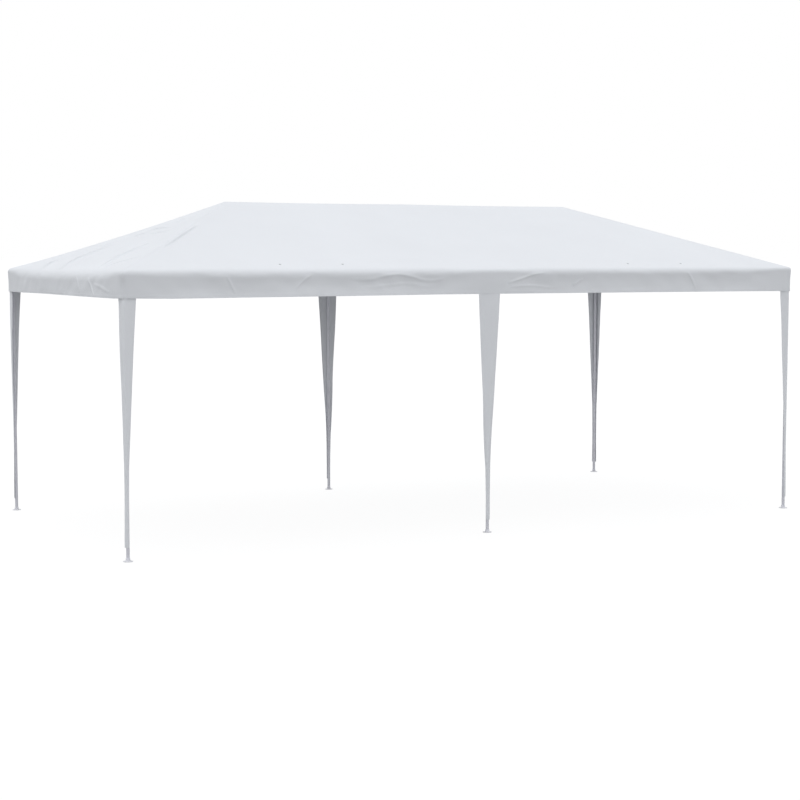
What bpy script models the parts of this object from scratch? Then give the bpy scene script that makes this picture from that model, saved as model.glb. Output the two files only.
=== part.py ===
"""Party tent, 3 m by 6 m: a push-fit steel tube frame on six legs, under a hipped sheet roof.

Lengths are in metres and +Z is up. +X runs along the tent, the front is -Y and the left end is -X.
The origin is on the ground under the middle of the roof.
"""

import math

import bmesh
import bpy
from mathutils import Vector

# Plan and heights, from which everything else is worked out
LEG_X = 2.94
LEG_Y = 1.46
SHEET_OUT = 0.021
EAVE_Z = 2.052
RIDGE_Z = 2.597
RIDGE_HALF = 1.592
VALANCE_BOTTOM_Z = 1.861

# Tubes and the fittings that they push into
TUBE_RADIUS = 0.0125
FITTING_RADIUS = 0.015
HUB_RADIUS = 0.0158
ARM_LENGTH = 0.085
SOCKET_START = 0.034
ROUND_SIDES = 24
CURVE_BEVEL = 10

# Feet
PLATE_RADIUS = 0.035
PLATE_THICKNESS = 0.003
COLLAR_HEIGHT = 0.022
COLLAR_TOP_RADIUS = 0.0158
COLLAR_FOOT_RADIUS = 0.021

# Sheet: each solid stands for one sewn panel, thicker than the cloth
SHEET = 0.004
CLEAR = 0.0003

# Leg covers: a long taper down to a narrow strip, then even down to the hem
COVER_TOP_Z = 1.945
COVER_HEM_Z = 0.10
CORNER_COVER_WIDTHS = ((COVER_TOP_Z, 0.106), (0.58, 0.029), (COVER_HEM_Z, 0.027))
MIDDLE_COVER_WIDTHS = ((COVER_TOP_Z, 0.196), (0.42, 0.036), (COVER_HEM_Z, 0.033))

# Worked out from the values above
OUT_X = LEG_X + SHEET_OUT
OUT_Y = LEG_Y + SHEET_OUT
RISE = RIDGE_Z - EAVE_Z
SIDE_SLOPE = RISE / OUT_Y
END_SLOPE = RISE / (OUT_X - RIDGE_HALF)
SEAT_DEPTH = HUB_RADIUS + CLEAR + SHEET
SIDE_DROP = SEAT_DEPTH * math.hypot(1, SIDE_SLOPE)
END_DROP = SEAT_DEPTH * math.hypot(1, END_SLOPE)
EAVE_HUB_Z = EAVE_Z + SHEET_OUT * SIDE_SLOPE - SIDE_DROP
RIDGE_HUB_Z = RIDGE_Z - SIDE_DROP
RIDGE_HUB_X = OUT_X - (RIDGE_HUB_Z + END_DROP - EAVE_Z) / END_SLOPE
COVER_INSIDE = TUBE_RADIUS + CLEAR
COVER_OUTSIDE = SHEET_OUT - SHEET - CLEAR

ENDS = {"left": -1, "right": 1}
SIDES = {"front": -1, "back": 1}
LEG_PLACES = {"left": -1, "middle": 0, "right": 1}


def new_scene():
    """Empties the scene and gives the collections for the parts and for the cutting shapes."""
    for old in list(bpy.data.objects):
        bpy.data.objects.remove(old, do_unlink=True)
    tent = bpy.data.collections.new("party_tent")
    shaping = bpy.data.collections.new("shaping")
    shaping.hide_render = True
    for collection in (tent, shaping):
        bpy.context.scene.collection.children.link(collection)
    return tent, shaping


def finish(name, colour, roughness, metallic=0.0):
    """A plain material with the colour of the real surface."""
    made = bpy.data.materials.new(name)
    made.use_nodes = True
    shader = made.node_tree.nodes["Principled BSDF"]
    shader.inputs["Base Color"].default_value = (*colour, 1.0)
    shader.inputs["Roughness"].default_value = roughness
    shader.inputs["Metallic"].default_value = metallic
    return made


def object_from(bm, name, collection, material=None):
    """A mesh object from a finished bmesh, with its faces pointing out."""
    bmesh.ops.recalc_face_normals(bm, faces=bm.faces)
    mesh = bpy.data.meshes.new(name)
    bm.to_mesh(mesh)
    bm.free()
    made = bpy.data.objects.new(name, mesh)
    if material:
        mesh.materials.append(material)
    collection.objects.link(made)
    return made


def rod(name, start, end, collection, material):
    """A straight round tube between two points, as a curve with filled caps."""
    curve = bpy.data.curves.new(name, "CURVE")
    curve.dimensions = "3D"
    curve.bevel_depth = TUBE_RADIUS
    curve.bevel_resolution = CURVE_BEVEL
    curve.use_fill_caps = True
    spline = curve.splines.new("POLY")
    spline.points.add(1)
    spline.points[1].co = (*(Vector(end) - Vector(start)), 1.0)
    made = bpy.data.objects.new(name, curve)
    made.location = start
    curve.materials.append(material)
    collection.objects.link(made)
    return made


def pushed_in(start, end):
    """The ends of a tube between two hubs, each at the bottom of its socket."""
    start, end = Vector(start), Vector(end)
    along = (end - start).normalized()
    depth = SOCKET_START + CLEAR
    return start + along * depth, end - along * depth


def cylinder_along(name, hub, direction, near, far, radius, collection):
    """A solid round bar from near to far along a direction from the hub, for uniting or cutting."""
    bm = bmesh.new()
    bmesh.ops.create_cone(
        bm, cap_ends=True, segments=ROUND_SIDES, radius1=radius, radius2=radius, depth=far - near
    )
    made = object_from(bm, name, collection)
    direction = Vector(direction).normalized()
    made.location = Vector(hub) + direction * (near + far) / 2
    made.rotation_mode = "QUATERNION"
    made.rotation_quaternion = direction.to_track_quat("Z", "Y")
    made.display_type = "WIRE"
    return made


def fitting(name, hub, directions, tent, shaping, material):
    """A moulded hub with one open socket for each tube that pushes into it."""
    bm = bmesh.new()
    bmesh.ops.create_uvsphere(bm, u_segments=ROUND_SIDES, v_segments=ROUND_SIDES // 2, radius=HUB_RADIUS)
    made = object_from(bm, name, tent, material)
    made.location = hub
    arms = bpy.data.collections.new(name + "_arms")
    sockets = bpy.data.collections.new(name + "_sockets")
    overlap = HUB_RADIUS / 4
    for number, direction in enumerate(directions, 1):
        cylinder_along(
            f"{name}_arm_{number}", hub, direction, -overlap, ARM_LENGTH, FITTING_RADIUS, arms
        )
        cylinder_along(
            f"{name}_socket_{number}",
            hub,
            direction,
            SOCKET_START,
            ARM_LENGTH + overlap,
            TUBE_RADIUS + CLEAR,
            sockets,
        )
    for collection, operation in ((arms, "UNION"), (sockets, "DIFFERENCE")):
        shaping.children.link(collection)
        collection.hide_render = True
        for cutter in collection.objects:
            cutter.hide_render = True
        change = made.modifiers.new(collection.name, "BOOLEAN")
        change.operation = operation
        change.operand_type = "COLLECTION"
        change.collection = collection
        change.solver = "EXACT"
    return made


def foot(name, place, collection, material):
    """A round foot plate with a flared collar, turned about the leg's axis; the leg stands in it."""
    socket = TUBE_RADIUS + CLEAR
    profile = (
        (0.0, PLATE_THICKNESS),
        (socket, PLATE_THICKNESS),
        (socket, COLLAR_HEIGHT),
        (COLLAR_TOP_RADIUS, COLLAR_HEIGHT),
        (COLLAR_FOOT_RADIUS, PLATE_THICKNESS),
        (PLATE_RADIUS, PLATE_THICKNESS),
        (PLATE_RADIUS, 0.0),
        (0.0, 0.0),
    )
    bm = bmesh.new()
    points = [bm.verts.new((radius, 0.0, height)) for radius, height in profile]
    for start, end in zip(points, points[1:]):
        bm.edges.new((start, end))
    mesh = bpy.data.meshes.new(name)
    bm.to_mesh(mesh)
    bm.free()
    made = bpy.data.objects.new(name, mesh)
    mesh.materials.append(material)
    collection.objects.link(made)
    turn = made.modifiers.new("turned", "SCREW")
    turn.steps = ROUND_SIDES
    turn.render_steps = ROUND_SIDES
    turn.use_merge_vertices = True
    turn.merge_threshold = CLEAR / 6
    made.location = (*place, 0.0)
    return made


def keep_behind(bm, point, normal):
    """Cuts a solid with a plane and keeps what lies behind it, closed again."""
    everything = bm.verts[:] + bm.edges[:] + bm.faces[:]
    cut = bmesh.ops.bisect_plane(
        bm, geom=everything, plane_co=point, plane_no=normal, clear_outer=True
    )
    rim = [part for part in cut["geom_cut"] if isinstance(part, bmesh.types.BMEdge)]
    bmesh.ops.edgeloop_fill(bm, edges=rim)


def block(half_along, half_out):
    """A block round the whole tent, to be cut down to one panel."""
    bm = bmesh.new()
    bmesh.ops.create_cube(bm, size=2.0)
    size = Vector((half_along + 1, half_out + 1, RIDGE_Z + 1))
    bmesh.ops.scale(bm, vec=size, verts=bm.verts)
    return bm


def roof_plane(half_out, run, depth=0.0):
    """A point and the outward normal of a roof slope, in the frame where its eave faces -Y."""
    normal = Vector((0, -RISE, run)).normalized()
    return Vector((0, -half_out, EAVE_Z)) - normal * depth, normal


def roof_panel(name, half_along, half_out, run, turned, collection, material):
    """One slope of the roof, mitred to its neighbours at the ridge and the hips."""
    bm = block(half_along, half_out)
    outer, normal = roof_plane(half_out, run)
    inner, _ = roof_plane(half_out, run, SHEET)
    keep_behind(bm, outer, normal)
    keep_behind(bm, inner, -normal)
    keep_behind(bm, (0, -half_out, 0), (0, -1, 0))
    top_half = RIDGE_HALF if half_along > half_out else 0.0
    for side in (-1, 1):
        across = Vector((side * run, half_along - top_half, 0)).normalized()
        corner = Vector((side * half_along, -half_out, 0))
        keep_behind(bm, corner - across * CLEAR / 2, across)
    if top_half:
        keep_behind(bm, (0, -CLEAR / 2, 0), (0, 1, 0))
    made = object_from(bm, name, collection, material)
    made.rotation_euler.z = turned
    return made


def valance_panel(name, half_along, half_out, run, turned, collection, material):
    """The flap that hangs from one eave, mitred to its neighbours at the corners."""
    bm = block(half_along, half_out)
    under, normal = roof_plane(half_out, run, SHEET + CLEAR)
    keep_behind(bm, under, normal)
    keep_behind(bm, (0, 0, VALANCE_BOTTOM_Z), (0, 0, -1))
    keep_behind(bm, (0, -half_out, 0), (0, -1, 0))
    keep_behind(bm, (0, -half_out + SHEET, 0), (0, 1, 0))
    for side in (-1, 1):
        across = Vector((side, 1, 0)).normalized()
        corner = Vector((side * half_along, -half_out, 0))
        keep_behind(bm, corner - across * CLEAR / 2, across)
    made = object_from(bm, name, collection, material)
    made.rotation_euler.z = turned
    return made


def leg_cover(name, place, widths, wings, collection, material):
    """A tapered strip down the outside of a leg, folded round the corner where it has two wings.

    Each wing is the direction that it runs from the fold, with the outward direction of its face.
    """
    bm = bmesh.new()
    bmesh.ops.create_grid(bm, x_segments=2, y_segments=len(widths) - 1, size=1.0)
    rows = sorted({round(v.co.y, 4) for v in bm.verts}, reverse=True)
    fold = sum((face for _, face in wings), Vector()) if wings[0][1] != wings[1][1] else wings[0][1]
    for v in bm.verts:
        height, width = widths[rows.index(round(v.co.y, 4))]
        side = round(v.co.x)
        across = Vector()
        if side:
            across = wings[0 if side < 0 else 1][0] * width
        v.co = Vector(fold) * COVER_OUTSIDE + across + Vector((0, 0, height))
    mesh = bpy.data.meshes.new(name)
    face = next(iter(bm.faces))
    face.normal_update()
    if face.normal.dot(fold) < 0:
        bmesh.ops.reverse_faces(bm, faces=bm.faces)
    bm.to_mesh(mesh)
    bm.free()
    made = bpy.data.objects.new(name, mesh)
    mesh.materials.append(material)
    collection.objects.link(made)
    cloth = made.modifiers.new("cloth", "SOLIDIFY")
    cloth.thickness = COVER_OUTSIDE - COVER_INSIDE
    cloth.offset = -1.0
    cloth.use_even_offset = True
    made.location = (*place, 0.0)
    return made


def build_legs(tent, materials):
    """Six legs, each with its foot and its cover."""
    for side_name, side in SIDES.items():
        for place_name, end in LEG_PLACES.items():
            where = f"{side_name}_{place_name}"
            place = (end * LEG_X, side * LEG_Y)
            top = EAVE_HUB_Z - SOCKET_START - CLEAR
            rod(
                f"leg_pole_{where}",
                (*place, PLATE_THICKNESS + CLEAR),
                (*place, top),
                tent,
                materials["steel"],
            )
            foot(f"foot_{where}", place, tent, materials["plastic"])
            face = Vector((0, side, 0))
            if end:
                widths = CORNER_COVER_WIDTHS
                end_face = Vector((end, 0, 0))
                wings = ((-end_face, face), (-face, end_face))
            else:
                widths = [(height, width / 2) for height, width in MIDDLE_COVER_WIDTHS]
                wings = ((Vector((-1, 0, 0)), face), (Vector((1, 0, 0)), face))
            leg_cover(f"leg_cover_{where}", place, widths, wings, tent, materials["sheet"])


def build_frame(tent, shaping, materials):
    """The tubes of the eaves, hips, rafters and ridge, and the fittings that join them."""
    steel, plastic = materials["steel"], materials["plastic"]
    down = Vector((0, 0, -1))
    ridge = {name: Vector((end * RIDGE_HUB_X, 0, RIDGE_HUB_Z)) for name, end in ENDS.items()}
    middle_ridge = Vector((0, 0, RIDGE_HUB_Z))
    for side_name, side in SIDES.items():
        middle = Vector((0, side * LEG_Y, EAVE_HUB_Z))
        arms = [down, Vector((-1, 0, 0)), Vector((1, 0, 0)), middle_ridge - middle]
        fitting(f"side_connector_{side_name}", middle, arms, tent, shaping, plastic)
        rod(f"middle_rafter_{side_name}", *pushed_in(middle, middle_ridge), tent, steel)
        for end_name, end in ENDS.items():
            where = f"{side_name}_{end_name}"
            corner = Vector((end * LEG_X, side * LEG_Y, EAVE_HUB_Z))
            arms = [down, Vector((-end, 0, 0)), Vector((0, -side, 0)), ridge[end_name] - corner]
            fitting(f"corner_connector_{where}", corner, arms, tent, shaping, plastic)
            rod(f"eave_tube_{where}", *pushed_in(corner, middle), tent, steel)
            rod(f"hip_rafter_{where}", *pushed_in(corner, ridge[end_name]), tent, steel)
    for end_name, end in ENDS.items():
        front, back = (Vector((end * LEG_X, side * LEG_Y, EAVE_HUB_Z)) for side in SIDES.values())
        rod(f"eave_tube_{end_name}", *pushed_in(front, back), tent, steel)
        arms = [front - ridge[end_name], back - ridge[end_name], Vector((-end, 0, 0))]
        fitting(f"ridge_connector_{end_name}", ridge[end_name], arms, tent, shaping, plastic)
        rod(f"ridge_tube_{end_name}", *pushed_in(ridge[end_name], middle_ridge), tent, steel)
    arms = [Vector((-1, 0, 0)), Vector((1, 0, 0))]
    arms += [Vector((0, side * LEG_Y, EAVE_HUB_Z - RIDGE_HUB_Z)) for side in SIDES.values()]
    fitting("ridge_connector_middle", middle_ridge, arms, tent, shaping, plastic)


def build_sheet(tent, materials):
    """The four slopes of the roof and the flap under each eave."""
    quarter = math.pi / 2
    for number, name in enumerate(("front", "right", "back", "left")):
        half_along, half_out, run = (
            (OUT_Y, OUT_X, OUT_X - RIDGE_HALF) if number % 2 else (OUT_X, OUT_Y, OUT_Y)
        )
        size = (half_along, half_out, run, number * quarter)
        roof_panel(f"roof_{name}", *size, tent, materials["sheet"])
        valance_panel(f"valance_{name}", *size, tent, materials["sheet"])


def shade(tent):
    """Smooth shading on the round pieces, with the edges between faces kept sharp."""
    for made in tent.objects:
        if made.type == "MESH":
            made.data.shade_smooth()
            made.data.set_sharp_from_angle(angle=math.radians(30))


def main():
    tent, shaping = new_scene()
    materials = {
        "sheet": finish("woven_polyethylene_sheet", (0.80, 0.81, 0.83), 0.5),
        "steel": finish("white_powder_coated_steel", (0.62, 0.62, 0.66), 0.35),
        "plastic": finish("off_white_moulded_plastic", (0.70, 0.70, 0.71), 0.45),
    }
    build_legs(tent, materials)
    build_frame(tent, shaping, materials)
    build_sheet(tent, materials)
    shade(tent)


main()
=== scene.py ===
import math

import bmesh
import bpy
import numpy as np
from mathutils import Matrix, Vector, noise


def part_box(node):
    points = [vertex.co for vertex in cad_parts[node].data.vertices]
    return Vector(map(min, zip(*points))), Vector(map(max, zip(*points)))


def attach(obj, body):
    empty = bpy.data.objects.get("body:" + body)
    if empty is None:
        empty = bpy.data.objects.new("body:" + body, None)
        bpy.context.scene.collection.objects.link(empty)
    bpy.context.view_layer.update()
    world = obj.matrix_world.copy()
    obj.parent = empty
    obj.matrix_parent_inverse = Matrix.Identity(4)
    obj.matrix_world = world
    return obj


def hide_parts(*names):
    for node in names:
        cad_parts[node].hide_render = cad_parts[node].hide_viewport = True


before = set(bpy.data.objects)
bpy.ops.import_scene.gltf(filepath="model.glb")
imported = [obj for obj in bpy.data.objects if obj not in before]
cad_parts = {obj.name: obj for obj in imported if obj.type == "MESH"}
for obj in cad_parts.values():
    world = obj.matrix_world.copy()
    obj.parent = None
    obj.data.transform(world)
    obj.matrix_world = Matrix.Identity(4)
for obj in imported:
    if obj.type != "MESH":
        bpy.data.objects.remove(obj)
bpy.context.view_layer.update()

# Sizes read from the frame
POLE_LOW, POLE_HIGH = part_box("leg_pole_front_left")
LEG_X = -(POLE_LOW.x + POLE_HIGH.x) / 2
LEG_Y = -(POLE_LOW.y + POLE_HIGH.y) / 2
TUBE_RADIUS = (POLE_HIGH.x - POLE_LOW.x) / 2
OUT_Y = -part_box("valance_front")[0].y
OUT_X = -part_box("valance_left")[0].x
HEM_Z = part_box("valance_front")[0].z
RIDGE_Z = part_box("roof_front")[1].z
COVER_LOW, COVER_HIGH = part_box("leg_cover_front_left")
TUBE_END = 0.0343  # from the middle of a hub to the end of the tube in its socket
EAVE_HUB_Z = sum(corner.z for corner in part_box("eave_tube_left")) / 2
RIDGE_HUB_Z = sum(corner.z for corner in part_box("ridge_tube_left")) / 2
RIDGE_HUB_X = TUBE_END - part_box("ridge_tube_left")[0].x

# Sizes of the sheet
EAVE_Z = 2.052
RIDGE_HALF = 1.592
RISE = RIDGE_Z - EAVE_Z
VALANCE_DEPTH = EAVE_Z - HEM_Z
FRONT_SLOPE = math.hypot(RISE, OUT_Y)
END_SLOPE = math.hypot(RISE, OUT_X - RIDGE_HALF)
SLOPE = 1.5  # what "up" counts from eave to ridge, on every side
FRONT, RIGHT, BACK, LEFT = range(4)
ALONG = np.array([(1, 0, 0), (0, 1, 0), (-1, 0, 0), (0, -1, 0)], float)
OUTWARD = np.array([(0, -1, 0), (1, 0, 0), (0, 1, 0), (-1, 0, 0)], float)
AXIS_RUN = (1, 1, -1, -1)  # two sides run against their axis

SIDES = {"front": -1, "back": 1}
PLACES = {"left": -1, "middle": 0, "right": 1}


# Tools for materials
def linear(hex_colour):
    """An sRGB hex colour as the linear colour that Blender's sockets hold."""
    shares = [int(hex_colour[i : i + 2], 16) / 255 for i in (0, 2, 4)]
    return [*(s / 12.92 if s <= 0.04045 else ((s + 0.055) / 1.055) ** 2.4 for s in shares), 1.0]


def add(tree, kind, sockets=None, stops=(), **settings):
    """Adds a node with its settings and colour stops; a socket takes a value, an output, or a
    node, which stands for its first output."""
    made = tree.nodes.new("ShaderNode" + kind)
    for name, value in settings.items():
        setattr(made, name, value)
    for number, (position, tint) in enumerate(stops):
        made.color_ramp.elements[number].position = position
        made.color_ramp.elements[number].color = linear(tint)
    for name, value in (sockets or {}).items():
        if isinstance(value, bpy.types.Node):
            value = value.outputs[0]
        if isinstance(value, bpy.types.NodeSocket):
            tree.links.new(value, made.inputs[name])
        else:
            made.inputs[name].default_value = value
    return made


def new_material(name):
    """An empty node material, and its tree."""
    made = bpy.data.materials.new(name)
    made.use_nodes = True
    made.node_tree.nodes.clear()
    return made, made.node_tree


# Woven polyethylene tape, laminated on both sides: a faint square weave under a smooth film, milky
# where light comes through, with the fine crinkles of a sheet that was packed in a box. Its seams
# and hems are folded double and sewn with two rows of white thread.
WEAVE_PITCH = 0.003  # real tapes are about 2 mm apart, drawn at 3 mm so that close views show them
STITCH_PITCH = 0.006  # real stitches are about 4 mm long, drawn at 6 mm for the same reason
STITCH_HALF_WIDTH = 0.0009
THREAD_END, GAP_START = 0.28, 0.40  # in pitches from the middle of a stitch
STITCH_ROWS = (0.2, 0.8)  # shares of the seam's width
LAP_EDGE = 0.0007
CLOUDS = 1.6  # to the metre, so that the white changes over about 600 mm
CRINKLES = 22.0  # to the metre, about 45 mm each


def sewn_seams(tree, seam_width):
    """Where the cloth is double beside a seam or edge, and where its stitches are, each 0 to 1."""
    split = add(tree, "SeparateXYZ", {0: add(tree, "UVMap", uv_map="seam")})
    turns = add(tree, "Math", {0: split.outputs[0], 1: STITCH_PITCH}, operation="DIVIDE")
    step = add(tree, "Math", {0: turns}, operation="FRACT")
    centred = add(tree, "Math", {0: step, 1: 0.5}, operation="SUBTRACT")
    from_middle = add(tree, "Math", {0: centred}, operation="ABSOLUTE")
    thread = add(tree, "MapRange", {0: from_middle, 1: THREAD_END, 2: GAP_START, 3: 1.0, 4: 0.0})
    rows = []
    for share in STITCH_ROWS:
        beside = add(tree, "Math", {0: split.outputs[1], 1: share * seam_width}, operation="SUBTRACT")
        away = add(tree, "Math", {0: beside}, operation="ABSOLUTE")
        rows.append(add(tree, "MapRange", {0: away, 1: 0.0, 2: STITCH_HALF_WIDTH, 3: 1.0, 4: 0.0}))
    both = add(tree, "Math", {0: rows[0], 1: rows[1]}, operation="ADD")
    stitches = add(tree, "Math", {0: both, 1: thread}, operation="MULTIPLY")
    lap = {1: seam_width - LAP_EDGE, 2: seam_width + LAP_EDGE, 3: 1.0, 4: 0.0}
    return add(tree, "MapRange", {0: split.outputs[1], **lap}), stitches


def woven_sheet(name, tints, see_through, seam_width):
    made, tree = new_material(name)
    place = add(tree, "TexCoord")
    on_sheet = place.outputs["Object"]
    weave_turns = (2 * math.pi / WEAVE_PITCH,) * 3
    scaled = add(tree, "VectorMath", {0: place.outputs["UV"], 1: weave_turns}, operation="MULTIPLY")
    split = add(tree, "SeparateXYZ", {0: scaled})
    warp = add(tree, "Math", {0: split.outputs[0]}, operation="SINE")
    weft = add(tree, "Math", {0: split.outputs[1]}, operation="SINE")
    weave = add(tree, "Math", {0: warp, 1: weft}, operation="MULTIPLY")
    clouds = add(tree, "TexNoise", {"Vector": on_sheet, "Scale": CLOUDS, "Detail": 3.0})
    crinkle = add(tree, "TexNoise", {"Vector": on_sheet, "Scale": CRINKLES, "Detail": 4.0, "Roughness": 0.6})
    tone = add(tree, "ValToRGB", {"Fac": clouds}, stops=[(0.25, tints[0]), (0.75, tints[1])])
    double, stitches = sewn_seams(tree, seam_width)
    # a little darker in the gaps between the tapes and on the thread
    gaps = add(tree, "MapRange", {"Value": weave, "From Min": -1.0, "To Min": 0.985, "To Max": 1.0})
    shaded = add(tree, "MapRange", {"Value": stitches, "To Min": 1.0, "To Max": 0.90})
    darker = add(tree, "Math", {0: gaps, 1: shaded}, operation="MULTIPLY")
    toned = {"Factor": 1.0, 6: tone, 7: darker}
    colour = add(tree, "Mix", toned, data_type="RGBA", blend_type="MULTIPLY").outputs[2]
    shine = add(tree, "MapRange", {"Value": crinkle, "To Min": 0.42, "To Max": 0.62})
    folds = add(tree, "Bump", {"Height": crinkle, "Distance": 0.0012, "Strength": 0.35})
    tapes = add(tree, "Bump", {"Height": weave, "Distance": 0.00015, "Strength": 0.5, "Normal": folds})
    raised = add(tree, "Math", {0: double, 1: stitches}, operation="ADD")
    sewn = add(tree, "Bump", {"Height": raised, "Distance": 0.0003, "Normal": tapes})
    look = {"Base Color": colour, "Roughness": shine, "IOR": 1.5, "Specular IOR Level": 0.4, "Normal": sewn}
    film = add(tree, "BsdfPrincipled", look)
    glow = add(tree, "BsdfTranslucent", {"Color": colour, "Normal": sewn})
    both = add(tree, "MixShader", {0: see_through, 1: film, 2: glow})
    add(tree, "OutputMaterial", {"Surface": both})
    return made


# Thin steel tube, powder coated and baked: an even white with the faint orange peel of the coating,
# rubbed a little duller where tubes and hands have slid along it.
ORANGE_PEEL = 420.0  # bumps to the metre, about 2.4 mm each
RUBBED_PATCHES = 14.0  # to the metre, about 70 mm each


def powder_coated_steel(name):
    made, tree = new_material(name)
    place = add(tree, "TexCoord").outputs["Object"]
    peel = add(tree, "TexNoise", {"Vector": place, "Scale": ORANGE_PEEL, "Detail": 2.0})
    rubbed = add(tree, "TexNoise", {"Vector": place, "Scale": RUBBED_PATCHES, "Detail": 4.0})
    tone = add(tree, "ValToRGB", {"Fac": rubbed}, stops=[(0.3, "EBEBF2"), (0.7, "F4F4FA")])
    shine = add(tree, "MapRange", {"Value": rubbed, "To Min": 0.3, "To Max": 0.46})
    bump = add(tree, "Bump", {"Height": peel, "Distance": 0.0001, "Strength": 0.4})
    look = {"Base Color": tone, "Roughness": shine, "IOR": 1.5, "Normal": bump}
    add(tree, "OutputMaterial", {"Surface": add(tree, "BsdfPrincipled", look)})
    return made


# Injection moulded polypropylene: off-white, satin from the spark-eroded mould, and grey with dust
# and scuffs near the ground.
MOULD_GRAIN = 900.0  # to the metre: real grain is about 0.1 mm, drawn at 1.1 mm so that it shows
SCUFFS = 60.0  # to the metre, about 17 mm each


def moulded_polypropylene(name, dust_height):
    made, tree = new_material(name)
    place = add(tree, "TexCoord").outputs["Object"]
    grain = add(tree, "TexNoise", {"Vector": place, "Scale": MOULD_GRAIN, "Detail": 2.0})
    scuffs = add(tree, "TexNoise", {"Vector": place, "Scale": SCUFFS, "Detail": 5.0})
    height = add(tree, "SeparateXYZ", {0: place}).outputs[2]
    ground = {"Value": height, "From Max": dust_height, "To Min": 0.45, "To Max": 0.0}
    near_ground = add(tree, "MapRange", ground)
    dust = add(tree, "Math", {0: near_ground, 1: scuffs}, operation="MULTIPLY")
    tints = {"Factor": dust, 6: linear("ECECF2"), 7: linear("C9C6C2")}
    colour = add(tree, "Mix", tints, data_type="RGBA").outputs[2]
    satin = add(tree, "MapRange", {"Value": scuffs, "To Min": 0.42, "To Max": 0.62})
    bump = add(tree, "Bump", {"Height": grain, "Distance": 0.00008, "Strength": 0.5})
    look = {"Base Color": colour, "Roughness": satin, "IOR": 1.49, "Normal": bump}
    add(tree, "OutputMaterial", {"Surface": add(tree, "BsdfPrincipled", look)})
    return made


# Zinc-plated steel of screws, buttons and eyelets: grey with faint patches from the plating bath.
PLATING_PATCHES = 260.0  # to the metre, about 4 mm each


def zinc_plated_steel(name):
    made, tree = new_material(name)
    place = add(tree, "TexCoord").outputs["Object"]
    patches = add(tree, "TexNoise", {"Vector": place, "Scale": PLATING_PATCHES, "Detail": 4.0})
    tone = add(tree, "ValToRGB", {"Fac": patches}, stops=[(0.0, "B4B6B8"), (1.0, "D2D3D5")])
    shine = add(tree, "MapRange", {"Value": patches, "To Min": 0.28, "To Max": 0.5})
    bump = add(tree, "Bump", {"Height": patches, "Distance": 0.00005, "Strength": 0.4})
    look = {"Base Color": tone, "Metallic": 1.0, "Roughness": shine, "Normal": bump}
    add(tree, "OutputMaterial", {"Surface": add(tree, "BsdfPrincipled", look)})
    return made


CANOPY_SHEET = woven_sheet("white woven polyethylene sheet", ("EDEFF2", "F0F2F5"), 0.04, 0.022)
# painted light: the leg cover strips are the canopy's own sheet, drawn a little lighter to make up for the
# light that the shaded floor near the tent gives them
COVER_SHEET = woven_sheet("white woven polyethylene strip", ("F1F3F6", "F4F6F9"), 0.02, 0.012)
FRAME_STEEL = powder_coated_steel("white powder coated steel tube")
CONNECTOR_PLASTIC = moulded_polypropylene("off-white moulded polypropylene", 0.001)
FOOT_PLASTIC = moulded_polypropylene("off-white moulded foot, dusty", 0.03)
FASTENER_STEEL = zinc_plated_steel("zinc plated steel")


# Tools for modelling
def deselect():
    """Nothing is selected, so that the next operator works on new geometry only."""
    if bpy.context.object and bpy.context.object.mode != "OBJECT":
        bpy.ops.object.mode_set(mode="OBJECT")
    bpy.ops.object.select_all(action="DESELECT")


def hold(piece):
    """The piece alone is selected and active."""
    deselect()
    piece.select_set(True)
    bpy.context.view_layer.objects.active = piece


def edit(piece):
    """The piece alone is in edit mode, with all of its geometry selected."""
    hold(piece)
    bpy.ops.object.mode_set(mode="EDIT")
    bpy.ops.mesh.select_all(action="SELECT")


def leave_edit():
    bpy.ops.object.mode_set(mode="OBJECT")


def primitive(kind, name, **sizes):
    """A new named primitive."""
    deselect()
    getattr(bpy.ops.mesh, f"primitive_{kind}_add")(**sizes)
    made = bpy.context.object
    made.name = name
    made.data.name = name
    return made


def upright(name, sides, radius, height):
    """A cylinder that stands on the origin, with its place put into its mesh."""
    made = primitive(
        "cylinder", name, vertices=sides, radius=radius, depth=height, location=(0, 0, height / 2)
    )
    settle(made)
    return made


def pick(piece, test, kind="verts"):
    """In edit mode, selects only the vertices or faces whose middle passes the test."""
    bpy.ops.mesh.select_mode(type=kind[:-1].upper())
    bpy.ops.mesh.select_all(action="DESELECT")
    mesh = bmesh.from_edit_mesh(piece.data)
    for part in getattr(mesh, kind):
        middle = part.co if kind == "verts" else sum((v.co for v in part.verts), Vector()) / len(part.verts)
        part.select = test(middle)
    mesh.select_flush_mode()
    bmesh.update_edit_mesh(piece.data)


def cut_across(heights):
    """In edit mode, cuts a ring round the piece at each height."""
    for height in heights:
        bpy.ops.mesh.select_all(action="SELECT")
        bpy.ops.mesh.bisect(plane_co=(0, 0, height), plane_no=(0, 0, 1))


def widen(share, height):
    """In edit mode, makes what is selected wider or narrower about the axis."""
    bpy.ops.transform.resize(value=(share, share, 1.0), center_override=(0, 0, height))


def extrude_up(distance):
    bpy.ops.mesh.extrude_region_move(TRANSFORM_OT_translate={"value": (0, 0, distance)})


def modified(piece, kind, **settings):
    """Adds a modifier and applies it."""
    hold(piece)
    made = piece.modifiers.new(kind.lower(), kind)
    for name, value in settings.items():
        setattr(made, name, value)
    bpy.ops.object.modifier_apply(modifier=made.name)


def bevelled(piece, width, degrees, segments=2):
    """Rounds every edge that is sharper than the angle."""
    limit = math.radians(degrees)
    modified(piece, "BEVEL", width=width, segments=segments, limit_method="ANGLE", angle_limit=limit)


def combined(piece, operation, tool):
    """Cuts a tool out of a piece, or fuses the two."""
    modified(piece, "BOOLEAN", operation=operation, object=tool, solver="EXACT")
    bpy.data.objects.remove(tool)


def settle(piece, matrix=None):
    """Puts the piece's place into its mesh, so that its object sits at the origin, unturned."""
    hold(piece)
    piece.data.transform((matrix or Matrix.Identity(4)) @ piece.matrix_basis)
    piece.matrix_basis = Matrix.Identity(4)


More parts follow.
